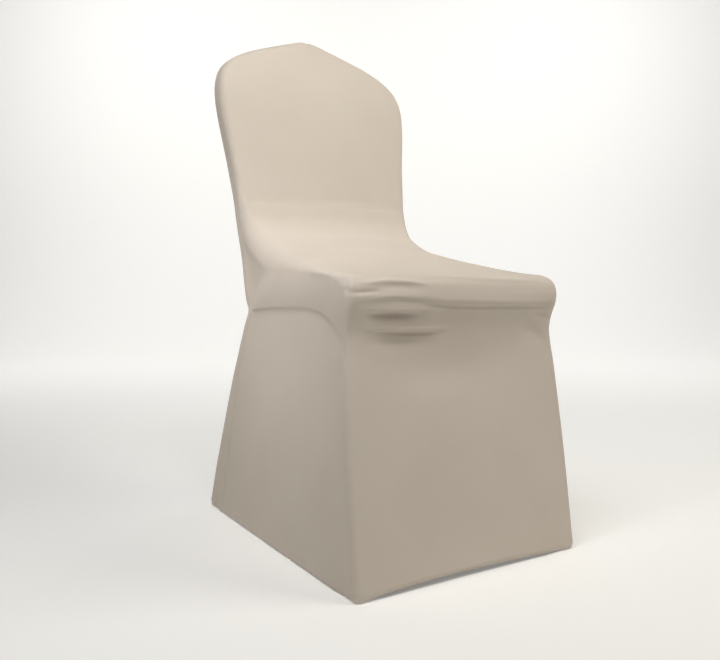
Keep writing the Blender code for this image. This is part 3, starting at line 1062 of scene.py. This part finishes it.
@dataclass(frozen=True)
class KnitFinish:
    """Elastic warp knit of polyester and elastane, dyed beige.

    To the eye it is matt, with a faint bloom where it turns away. The real wales are about
    0.5 mm apart. They are drawn coarser, so that they show close up.
    """

    name: str
    shade: str = "#CFC4B7"
    deep_shade: str = "#C9BDAF"
    # Painted shade: the darker colour that the knit is mixed towards beside each seam
    seam_painted_shade: str = "#B3A591"
    bloom_shade: str = "#FFF6EA"
    ior: float = 1.46
    metallic: float = 0.0
    roughness: float = 0.80
    sheen: float = 0.22
    sheen_roughness: float = 0.45
    wale_mm: float = 1.3
    course_mm: float = 0.95
    course_share: float = 0.45
    fibre_mm: float = 0.7
    fibre_share: float = 0.8
    heather_mm: float = 2.6
    heather_share: float = 0.45
    patch_mm: float = 160.0
    deep_from: float = 0.45
    deep_to: float = 1.05
    # How far from the seam the painted shade reaches, in millimetres, and how strong it is at the seam
    seam_painted_shade_mm: tuple = (0.1, 2.4)
    seam_painted_shade_share: float = 0.22
    bump_mm: float = 0.10
    bump_strength: float = 0.6
    stitch_mm: float = 3.2
    stitch_rows_mm: tuple = (18.6, 22.6)
    stitch_half_mm: float = 0.55
    stitch_height: float = 3.0

    def material(self) -> bpy.types.Material:
        """Makes the finish.

        Returns:
            A node material.
        """
        material = bpy.data.materials.new(self.name)
        material.use_nodes = True
        tree = material.node_tree
        shader = tree.nodes["Principled BSDF"]
        settings = {
            "Roughness": self.roughness,
            "IOR": self.ior,
            "Metallic": self.metallic,
            "Sheen Weight": self.sheen,
            "Sheen Roughness": self.sheen_roughness,
            "Sheen Tint": linear_colour(self.bloom_shade),
        }
        for key, value in settings.items():
            shader.inputs[key].default_value = value
        place = add_node(tree, "ShaderNodeTexCoord", {}, {})
        tree.links.new(self.colour(tree, place), shader.inputs["Base Color"])
        bump = add_node(
            tree,
            "ShaderNodeBump",
            {"Strength": self.bump_strength, "Distance": self.bump_mm * MM},
            {"Height": self.height(tree, place)},
        )
        tree.links.new(bump.outputs["Normal"], shader.inputs["Normal"])
        return material

    def colour(self, tree: bpy.types.NodeTree, place: bpy.types.Node) -> bpy.types.NodeSocket:
        """The dye, slightly uneven over the piece and between its yarns, with painted shade darkening it
        beside the seams.

        Args:
            tree: The material's nodes.
            place: The node that gives each point's place.

        Returns:
            The colour's socket.
        """
        patches, heather = (
            add_node(
                tree,
                "ShaderNodeTexNoise",
                {"Scale": 1 / (size * MM), "Detail": detail, "Roughness": rough},
                {"Vector": place.outputs["Object"]},
            )
            for size, detail, rough in ((self.patch_mm, 3.0, 0.5), (self.heather_mm, 2.0, 0.6))
        )
        blend = add_node(
            tree,
            "ShaderNodeMath",
            {"operation": "MULTIPLY_ADD", SECOND: self.heather_share},
            {FIRST: heather.outputs["Fac"], THIRD: patches.outputs["Fac"]},
        )
        amount = add_node(
            tree,
            "ShaderNodeMapRange",
            {"From Min": self.deep_from, "From Max": self.deep_to, "To Min": 0.0, "To Max": 1.0},
            {"Value": blend.outputs[0]},
        )
        dyed = add_node(
            tree,
            "ShaderNodeMix",
            {
                "data_type": "RGBA",
                MIX_FROM: linear_colour(self.shade),
                MIX_TO: linear_colour(self.deep_shade),
            },
            {MIX_FACTOR: amount.outputs["Result"]},
        )
        # Painted shade in the seam grooves: the dye is mixed towards a darker colour within a few millimetres
        # of each seam
        seam = add_node(tree, "ShaderNodeAttribute", {"attribute_name": "seam_mm"}, {})
        near, far = self.seam_painted_shade_mm
        depth = add_node(
            tree,
            "ShaderNodeMapRange",
            {
                "interpolation_type": "SMOOTHSTEP",
                "From Min": near,
                "From Max": far,
                "To Min": self.seam_painted_shade_share,
                "To Max": 0.0,
            },
            {"Value": seam.outputs["Fac"]},
        )
        shaded = add_node(
            tree,
            "ShaderNodeMix",
            {"data_type": "RGBA", MIX_TO: linear_colour(self.seam_painted_shade)},
            {MIX_FACTOR: depth.outputs["Result"], MIX_FROM: dyed.outputs[MIX_RESULT]},
        )
        return shaded.outputs[MIX_RESULT]

    def height(self, tree: bpy.types.NodeTree, place: bpy.types.Node) -> bpy.types.NodeSocket:
        """The relief of wales, courses and loose fibre, and of the hem's two rows of stitches.

        Args:
            tree: The material's nodes.
            place: The node that gives each point's place.

        Returns:
            The height's socket.
        """
        # At scale 1 the bands of a wave texture repeat every tau / 20 metres
        period = math.tau / 20
        wales, courses = (
            add_node(
                tree,
                "ShaderNodeTexWave",
                {"bands_direction": axis, "Scale": period / (size * MM), "Distortion": bend, "Detail": 1.0},
                {"Vector": place.outputs["UV"]},
            )
            for axis, size, bend in (("X", self.wale_mm, 0.4), ("Y", self.course_mm, 0.5))
        )
        fibre = add_node(
            tree,
            "ShaderNodeTexNoise",
            {"Scale": 1 / (self.fibre_mm * MM), "Detail": 3.0, "Roughness": 0.65},
            {"Vector": place.outputs["Object"]},
        )
        loops = add_node(
            tree,
            "ShaderNodeMath",
            {"operation": "MULTIPLY_ADD", SECOND: self.course_share},
            {FIRST: courses.outputs["Fac"], THIRD: wales.outputs["Fac"]},
        )
        ground = add_node(
            tree,
            "ShaderNodeMath",
            {"operation": "MULTIPLY_ADD", SECOND: self.fibre_share},
            {FIRST: fibre.outputs["Fac"], THIRD: loops.outputs[0]},
        )
        thread = add_node(
            tree,
            "ShaderNodeTexWave",
            {"bands_direction": "X", "Scale": period / (self.stitch_mm * MM)},
            {"Vector": place.outputs["UV"]},
        )
        hem = add_node(tree, "ShaderNodeAttribute", {"attribute_name": "hem_mm"}, {})
        height = ground.outputs[0]
        for row in self.stitch_rows_mm:
            inside = add_node(
                tree,
                "ShaderNodeMath",
                {"operation": "COMPARE", SECOND: row, THIRD: self.stitch_half_mm},
                {FIRST: hem.outputs["Fac"]},
            )
            stitches = add_node(
                tree,
                "ShaderNodeMath",
                {"operation": "MULTIPLY"},
                {FIRST: inside.outputs[0], SECOND: thread.outputs["Fac"]},
            )
            raised = add_node(
                tree,
                "ShaderNodeMath",
                {"operation": "MULTIPLY_ADD", SECOND: self.stitch_height},
                {FIRST: stitches.outputs[0], THIRD: height},
            )
            height = raised.outputs[0]
        return height


@dataclass(frozen=True)
class Tailor:
    """Makes mesh pieces of cloth from measured grids."""

    origin: Vector
    thickness: float = CLOTH

    def sheet(self, name: str, cloth: Cloth, material: bpy.types.Material) -> bpy.types.Object:
        """Bends a flat grid to a cloth's points and gives it its thickness.

        Args:
            name: The piece's name.
            cloth: The measured cloth, in its final shape.
            material: The piece's finish.

        Returns:
            The piece, closed, with its place in its mesh.
        """
        rows, columns = cloth.points.shape[:2]
        bm = bmesh.new()
        bmesh.ops.create_grid(bm, x_segments=columns - 1, y_segments=rows - 1, size=1.0)
        fields = {
            "seam_mm": cloth.seam / MM,
            "hem_mm": cloth.hem / MM,
            "cloth_u": cloth.across,
            "cloth_v": cloth.along,
        }
        layers = [bm.verts.layers.float.new(key) for key in fields]
        places = (cloth.points - np.array(self.origin)).reshape(-1, 3).tolist()
        values = np.stack([field.reshape(-1) for field in fields.values()], axis=1).tolist()
        for vert, place, row in zip(bm.verts, places, values):
            vert.co = place
            for layer, value in zip(layers, row):
                vert[layer] = value
        bmesh.ops.remove_doubles(bm, verts=bm.verts[:], dist=WELD)
        if cloth.outward < 0:
            bmesh.ops.reverse_faces(bm, faces=bm.faces[:])
        bm.normal_update()
        grown = bmesh.ops.extrude_face_region(bm, geom=bm.faces[:], use_keep_orig=True)
        for item in grown["geom"]:
            if isinstance(item, bmesh.types.BMVert):
                item.co -= item.normal * self.thickness
        bmesh.ops.recalc_face_normals(bm, faces=bm.faces[:])
        mesh = bpy.data.meshes.new(name)
        bm.to_mesh(mesh)
        bm.free()
        self.lay_out(mesh)
        mesh.shade_smooth()
        mesh.materials.append(material)
        piece = bpy.data.objects.new(name, mesh)
        bpy.context.scene.collection.objects.link(piece)
        LOG.info("%s: %d faces", name, len(mesh.polygons))
        return piece

    @staticmethod
    def lay_out(mesh: bpy.types.Mesh) -> None:
        """Turns the flat place of each point into the mesh's UV map.

        Args:
            mesh: A piece's mesh, with the flat places as attributes, which are removed.
        """
        flat = np.zeros((len(mesh.vertices), 2), np.float32)
        for column, key in enumerate(("cloth_u", "cloth_v")):
            values = np.zeros(len(mesh.vertices), np.float32)
            mesh.attributes[key].data.foreach_get("value", values)
            flat[:, column] = values
            mesh.attributes.remove(mesh.attributes[key])
        corners = np.zeros(len(mesh.loops), np.int32)
        mesh.loops.foreach_get("vertex_index", corners)
        uv_map = mesh.uv_layers.new(name="cloth")
        uv_map.data.foreach_set("uv", flat[corners].reshape(-1))


@dataclass(frozen=True)
class FlatCut:
    """The size that a piece is cut to before it is stretched."""

    width: float
    length: float
    area: float


@dataclass
class StretchCover:
    """The whole cover: four panels and four foot pockets of one knit."""

    origin: Vector
    form: CoverForm = CoverForm()
    sewing: Sewing = Sewing()
    creasing: Creasing = Creasing(tuple(CREASES), tuple(UNEVENNESS))
    pocket: FootPocket = FootPocket()
    front_cut: FlatCut = FlatCut(0.48, 1.32, 0.47)
    back_cut: FlatCut = FlatCut(0.46, 0.95, 0.33)
    side_cut: FlatCut = FlatCut(0.46, 0.40, 0.135)
    pocket_cut: FlatCut = FlatCut(0.060, 0.060, 0.0036)
    past_hem: float = 0.1

    def panel(
        self, name: str, cloth: Cloth, arch: np.ndarray | None = None
    ) -> bpy.types.Object:
        """Args:
            name: The solid's name, which the piece replaces.
            cloth: The stretched surface.
            arch: For a panel under the seat, the arched part of its seam.

        Returns:
            The finished piece.
        """
        cloth.measure(arch)
        cloth.push(self.creasing.relief(cloth) + self.sewing.relief(cloth))
        cloth = self.sewing.turn_seams(cloth)
        cloth = self.sewing.turn_hem(cloth)
        finish = KnitFinish(name + "_warp_knit").material()
        piece = Tailor(self.origin).sheet(name + "_cloth", cloth, finish)
        return self.declare(piece, name)

    def foot_pocket(self, name: str, side: int, end: int) -> bpy.types.Object:
        """Args:
            name: The solid's name, which the piece replaces.
            side: -1 at the left and 1 at the right.
            end: -1 at the front and 1 at the rear.

        Returns:
            The finished piece.
        """
        cloth = Cloth(self.pocket.points(side, end), 1)
        cloth.measure(seams=False)
        # Its mouth is gathered and not hemmed, so it is put past the hem's stitches
        cloth.hem = cloth.hem + self.past_hem
        finish = KnitFinish(name + "_doubled_knit").material()
        piece = Tailor(self.origin, 2 * CLOTH).sheet(name + "_cloth", cloth, finish)
        return self.declare(piece, name)

    def declare(self, piece: bpy.types.Object, node: str) -> bpy.types.Object:
        """Puts a piece in place of its solid, which it hides.

        Args:
            piece: The finished piece.
            node: The solid's name.

        Returns:
            The same piece.
        """
        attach(piece, BODY)
        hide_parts(node)
        return piece

    def build(self) -> list[bpy.types.Object]:
        """Makes all eight pieces.

        Returns:
            The panels, and then the foot pockets.
        """
        front, front_seam = self.form.front()
        back, back_seam = self.form.back(front_seam)
        side = self.form.side(front_seam, back_seam)
        arch = self.form.below_arch(front_seam)
        pieces = [
            self.panel("front_panel", Cloth(front, -1, peaked=True)),
            self.panel("back_panel", Cloth(back, 1, peaked=True)),
            self.panel("side_panel_right", Cloth(side, 1), arch),
            self.panel("side_panel_left", Cloth(side * MIRROR, -1), arch * MIRROR),
        ]
        for side_name, side_sign in (("left", -1), ("right", 1)):
            for end_name, end in (("front", -1), ("rear", 1)):
                pieces.append(self.foot_pocket(f"foot_pocket_{end_name}_{side_name}", side_sign, end))
        return pieces


@dataclass(frozen=True)
class SoftLight:
    """One soft lamp of the studio, with its place from the middle of the footprint on the floor."""

    name: str
    size: float
    power: float
    place: tuple
    aim: tuple
    tint: str = "#FFFFFF"
    spread: float = 180.0


@dataclass
class Studio:
    """A plain pale floor that sweeps up behind, soft light, and the camera at the photo's angle.

    The backdrop's lamps are placed by the directions that the camera looks in: across the
    view, away from the camera, and up.
    """

    origin: Vector
    floor_shade: str = "#F4F3F0"
    floor_roughness: float = 0.9
    sweep_glow: float = 0.2
    lights: tuple = (
        SoftLight("above", 0.9, 15.0, (-0.7, -0.5, 1.7), (0.0, 0.0, 0.6)),
        SoftLight("right", 1.2, 19.8, (1.2, -1.2, 1.9), (0.0, 0.0, 0.6), "#FFFBF0"),
        SoftLight("on the back", 0.5, 0.38, (-0.3, -1.3, 2.3), (0.03, 0.10, 0.60), spread=34.0),
        SoftLight("on the side", 0.3, 0.23, (-1.7, -0.3, 1.5), (-0.2, 0.0, 0.46), spread=22.0),
    )
    backdrop_size: float = 1.4
    backdrop_power: float = 43.0
    backdrop_place: tuple = (1.8, 2.0, 2.8)
    backdrop_aim: tuple = (1.1, 4.4, 1.0)
    sky_shade: str = "#FFFFFF"
    sky_strength: float = 0.04
    sweep_reach: float = 3.0
    sweep_bend: float = 1.4
    sweep_height: float = 4.0
    sweep_width: float = 12.0
    sweep_steps: int = 17
    floor_drop: float = 0.0004
    eye: tuple = (-0.7737, -1.1688, 0.4439)
    yaw: float = 32.587
    pitch: float = 3.366
    lens_pixels: float = 768.26
    frame_width: int = 720
    sensor: float = 36.0

    def placed(self, point: tuple) -> Vector:
        """A place given from the floor, in the model's own frame."""
        return Vector(point) - self.origin

    def along_view(self, right: float, away: float, height: float) -> tuple:
        """A place by the directions that the camera looks in.

        Args:
            right: Metres across the view from the middle of the footprint.
            away: Metres away from the camera.
            height: Metres above the floor.

        Returns:
            The place from the middle of the footprint on the floor.
        """
        turn = math.radians(self.yaw)
        across = right * math.cos(turn) + away * math.sin(turn)
        behind = away * math.cos(turn) - right * math.sin(turn)
        return across, behind, height

    def floor(self) -> bpy.types.Object:
        """Makes the floor and its sweep, as one strip across the camera's view.

        Returns:
            The strip, which is part of the stage.
        """
        profile = [(-self.sweep_reach, 0.0), (0.0, 0.0)]
        for turn in np.linspace(0, np.pi / 2, self.sweep_steps):
            away = self.sweep_reach + self.sweep_bend * math.sin(turn)
            profile.append((away, self.sweep_bend * (1 - math.cos(turn))))
        profile.append((self.sweep_reach + self.sweep_bend, self.sweep_height))
        bm = bmesh.new()
        bmesh.ops.create_grid(bm, x_segments=1, y_segments=len(profile) - 1, size=self.sweep_width / 2)
        for index, vert in enumerate(bm.verts):
            away, height = profile[index // 2]
            vert.co = self.placed(self.along_view(vert.co.x, away, height - self.floor_drop))
        bmesh.ops.recalc_face_normals(bm, faces=bm.faces[:])
        mesh = bpy.data.meshes.new("floor")
        bm.to_mesh(mesh)
        bm.free()
        mesh.shade_smooth()
        mesh.materials.append(self.floor_material())
        floor = bpy.data.objects.new("floor", mesh)
        bpy.context.scene.collection.objects.link(floor)
        return floor

    def floor_material(self) -> bpy.types.Material:
        """Matt white painted sweep, with a faint glow that keeps it pale under the soft lamps.

        Returns:
            A node material.
        """
        material = bpy.data.materials.new("studio_sweep")
        material.use_nodes = True
        shader = material.node_tree.nodes["Principled BSDF"]
        shader.inputs["Base Color"].default_value = linear_colour(self.floor_shade)
        shader.inputs["Roughness"].default_value = self.floor_roughness
        shader.inputs["Emission Color"].default_value = linear_colour(self.floor_shade)
        shader.inputs["Emission Strength"].default_value = self.sweep_glow
        return material

    def lamp(self, plan: SoftLight) -> None:
        """Hangs one square area light, aimed at its point.

        Args:
            plan: The lamp's size, power and place.
        """
        light = bpy.data.lights.new(plan.name, "AREA")
        light.shape = "SQUARE"
        light.size = plan.size
        light.energy = plan.power
        light.spread = math.radians(plan.spread)
        light.color = linear_colour(plan.tint)[:3]
        lamp = bpy.data.objects.new(plan.name, light)
        lamp.location = self.placed(plan.place)
        aim = self.placed(plan.aim) - lamp.location
        lamp.rotation_euler = aim.to_track_quat("-Z", "Y").to_euler()
        bpy.context.scene.collection.objects.link(lamp)

    def backdrop_lamps(self) -> None:
        """Lights the sweep behind the cover, from both sides."""
        for side in (-1, 1):
            place, aim = (
                self.along_view(side * right, away, height)
                for right, away, height in (self.backdrop_place, self.backdrop_aim)
            )
            self.lamp(SoftLight("backdrop", self.backdrop_size, self.backdrop_power, place, aim))

    def sky(self) -> None:
        """A faint even light from all round, so that no side of the cover is black."""
        world = bpy.data.worlds.new("sky")
        world.use_nodes = True
        background = world.node_tree.nodes["Background"]
        background.inputs["Color"].default_value = linear_colour(self.sky_shade)
        background.inputs["Strength"].default_value = self.sky_strength
        bpy.context.scene.world = world

    def camera(self) -> None:
        """The camera that the photo was taken with, as worked out from the cover's outline."""
        data = bpy.data.cameras.new("camera")
        data.sensor_width = self.sensor
        data.lens = self.lens_pixels * self.sensor / self.frame_width
        camera = bpy.data.objects.new("camera", data)
        camera.location = self.placed(self.eye)
        camera.rotation_euler = (math.radians(90 - self.pitch), 0, math.radians(-self.yaw))
        bpy.context.scene.collection.objects.link(camera)
        bpy.context.scene.camera = camera

    def build(self) -> None:
        """Sets up the whole studio."""
        self.camera()
        self.sky()
        self.floor()
        for plan in self.lights:
            self.lamp(plan)
        self.backdrop_lamps()
        bpy.context.scene.view_settings.view_transform = "Standard"


def main() -> None:
    """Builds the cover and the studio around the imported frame."""
    logging.basicConfig(level=logging.INFO, format="%(message)s")
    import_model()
    origin = Vector((0.0, FACE_PROFILE[-1].depth + SEAM_DEPTH, HEIGHT - SHEET))
    Studio(origin).build()
    pieces = StretchCover(origin).build()
    for piece in pieces:
        LOG.info("made %s", piece.name)


if __name__ == "__main__":
    main()
